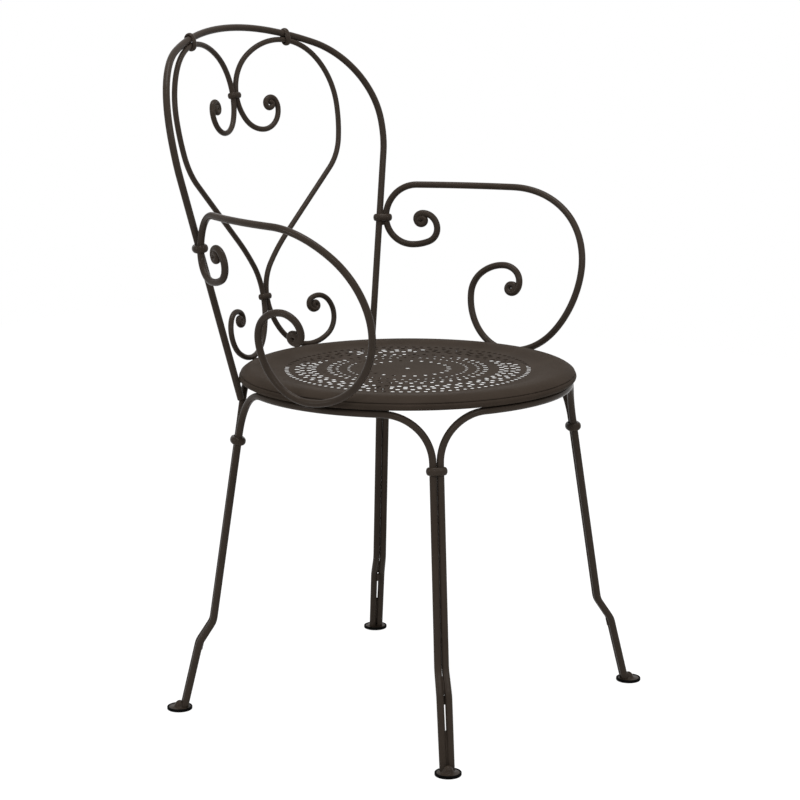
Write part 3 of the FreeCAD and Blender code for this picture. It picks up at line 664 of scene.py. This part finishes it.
def white_for_camera(tree, share):
    """Factor that is the share for camera, glossy and transmission rays and zero for others."""
    rays = tree.nodes.new("ShaderNodeLightPath")
    seen = rays.outputs["Is Camera Ray"]
    for kind in ("Is Glossy Ray", "Is Transmission Ray"):
        either = tree.nodes.new("ShaderNodeMath")
        either.operation = "MAXIMUM"
        tree.links.new(seen, either.inputs[0])
        tree.links.new(rays.outputs[kind], either.inputs[1])
        seen = either.outputs[0]
    scaled = tree.nodes.new("ShaderNodeMath")
    scaled.operation = "MULTIPLY"
    scaled.inputs[1].default_value = share
    tree.links.new(seen, scaled.inputs[0])
    return scaled.outputs[0]


def show_white(tree, share, shaded, white, surface):
    """Join a shader to the surface, mixed with white for camera, glossy and transmission rays."""
    blend = tree.nodes.new("ShaderNodeMixShader")
    tree.links.new(white_for_camera(tree, share), blend.inputs[0])
    tree.links.new(shaded.outputs[0], blend.inputs[1])
    tree.links.new(white.outputs[0], blend.inputs[2])
    tree.links.new(blend.outputs[0], surface)


def floor():
    """Pale floor, seen three parts as a white glow and one part as it is lit and shaded."""
    material = bpy.data.materials.new("white_floor")
    material.use_nodes = True
    tree = material.node_tree
    shader = tree.nodes["Principled BSDF"]
    shader.inputs["Base Color"].default_value = (FLOOR_GREY, FLOOR_GREY, FLOOR_GREY, 1)
    shader.inputs["Roughness"].default_value = 0.9
    shader.inputs["Specular IOR Level"].default_value = 0
    glow = node_of(tree, "ShaderNodeEmission", Color=(1, 1, 1, 1), Strength=FLOOR_GLOW)
    show_white(tree, GLOW_SHARE, shader, glow, tree.nodes["Material Output"].inputs["Surface"])
    mesh = bpy.data.meshes.new("floor")
    corners = [(x * FLOOR_REACH, y * FLOOR_REACH, 0) for x, y in ((-1, -1), (1, -1), (1, 1), (-1, 1))]
    mesh.from_pydata(corners, [], [(0, 1, 2, 3)])
    plane = bpy.data.objects.new("floor", mesh)
    plane.data.materials.append(material)
    bpy.context.scene.collection.objects.link(plane)


def world():
    """Soft all-round light; the background itself shows as white."""
    sky = bpy.data.worlds.new("studio")
    bpy.context.scene.world = sky
    sky.use_nodes = True
    tree = sky.node_tree
    plain = tree.nodes["Background"]
    plain.inputs["Color"].default_value = (1, 1, 1, 1)
    plain.inputs["Strength"].default_value = SKY_LIGHT
    white = node_of(tree, "ShaderNodeBackground", Color=(1, 1, 1, 1), Strength=1)
    show_white(tree, 1, plain, white, tree.nodes["World Output"].inputs["Surface"])


def soft_lamp(name, place, size, power):
    """Square area lamp that looks at the middle of the chair."""
    lamp = bpy.data.lights.new(name, "AREA")
    lamp.shape = "SQUARE"
    lamp.size = size
    lamp.energy = power
    item = bpy.data.objects.new(name, lamp)
    item.location = place
    item.rotation_euler = (LAMP_TARGET - Vector(place)).to_track_quat("-Z", "Y").to_euler()
    bpy.context.scene.collection.objects.link(item)


CAMERA_BEARING = -54.84
CAMERA_RISE = 11.423
CAMERA_ROLL = -0.125
CAMERA_REACH = 2.9087
CAMERA_AIM = Vector((-0.00567, 0.00811, 0.394))
LENS_IN_PIXELS = 2272.84
IMAGE_WIDTH = 800


def camera():
    """Camera at the photograph's viewing angle and distance."""
    turn, lift = math.radians(CAMERA_BEARING), math.radians(CAMERA_RISE)
    right = Vector((math.cos(turn), math.sin(turn), 0))
    forward = Vector((-math.sin(turn) * math.cos(lift), math.cos(turn) * math.cos(lift),
                      -math.sin(lift)))
    up = right.cross(forward)
    view = bpy.data.cameras.new("camera")
    view.sensor_width = 36
    view.lens = LENS_IN_PIXELS * view.sensor_width / IMAGE_WIDTH
    view.clip_end = 50
    item = bpy.data.objects.new("camera", view)
    facing = Matrix((right, up, -forward)).transposed()
    roll = Matrix.Rotation(math.radians(CAMERA_ROLL), 3, "Z")
    place = CAMERA_AIM + SEAT_AXIS - forward * CAMERA_REACH
    item.matrix_world = Matrix.Translation(place) @ (facing @ roll).to_4x4()
    bpy.context.scene.collection.objects.link(item)
    bpy.context.scene.camera = item


floor()
world()
soft_lamp("key_lamp", place=(-0.39, -2.23, 2.0), size=0.45, power=13)
soft_lamp("front_lamp", place=(-1.96, -1.38, 2.2), size=0.45, power=14)
soft_lamp("fill_lamp", place=(-1.81, 1.18, 1.0), size=0.6, power=9)
soft_lamp("top_lamp", place=(0, 0, 2.8), size=1.2, power=42)
camera()
bpy.context.scene.view_settings.view_transform = "Standard"
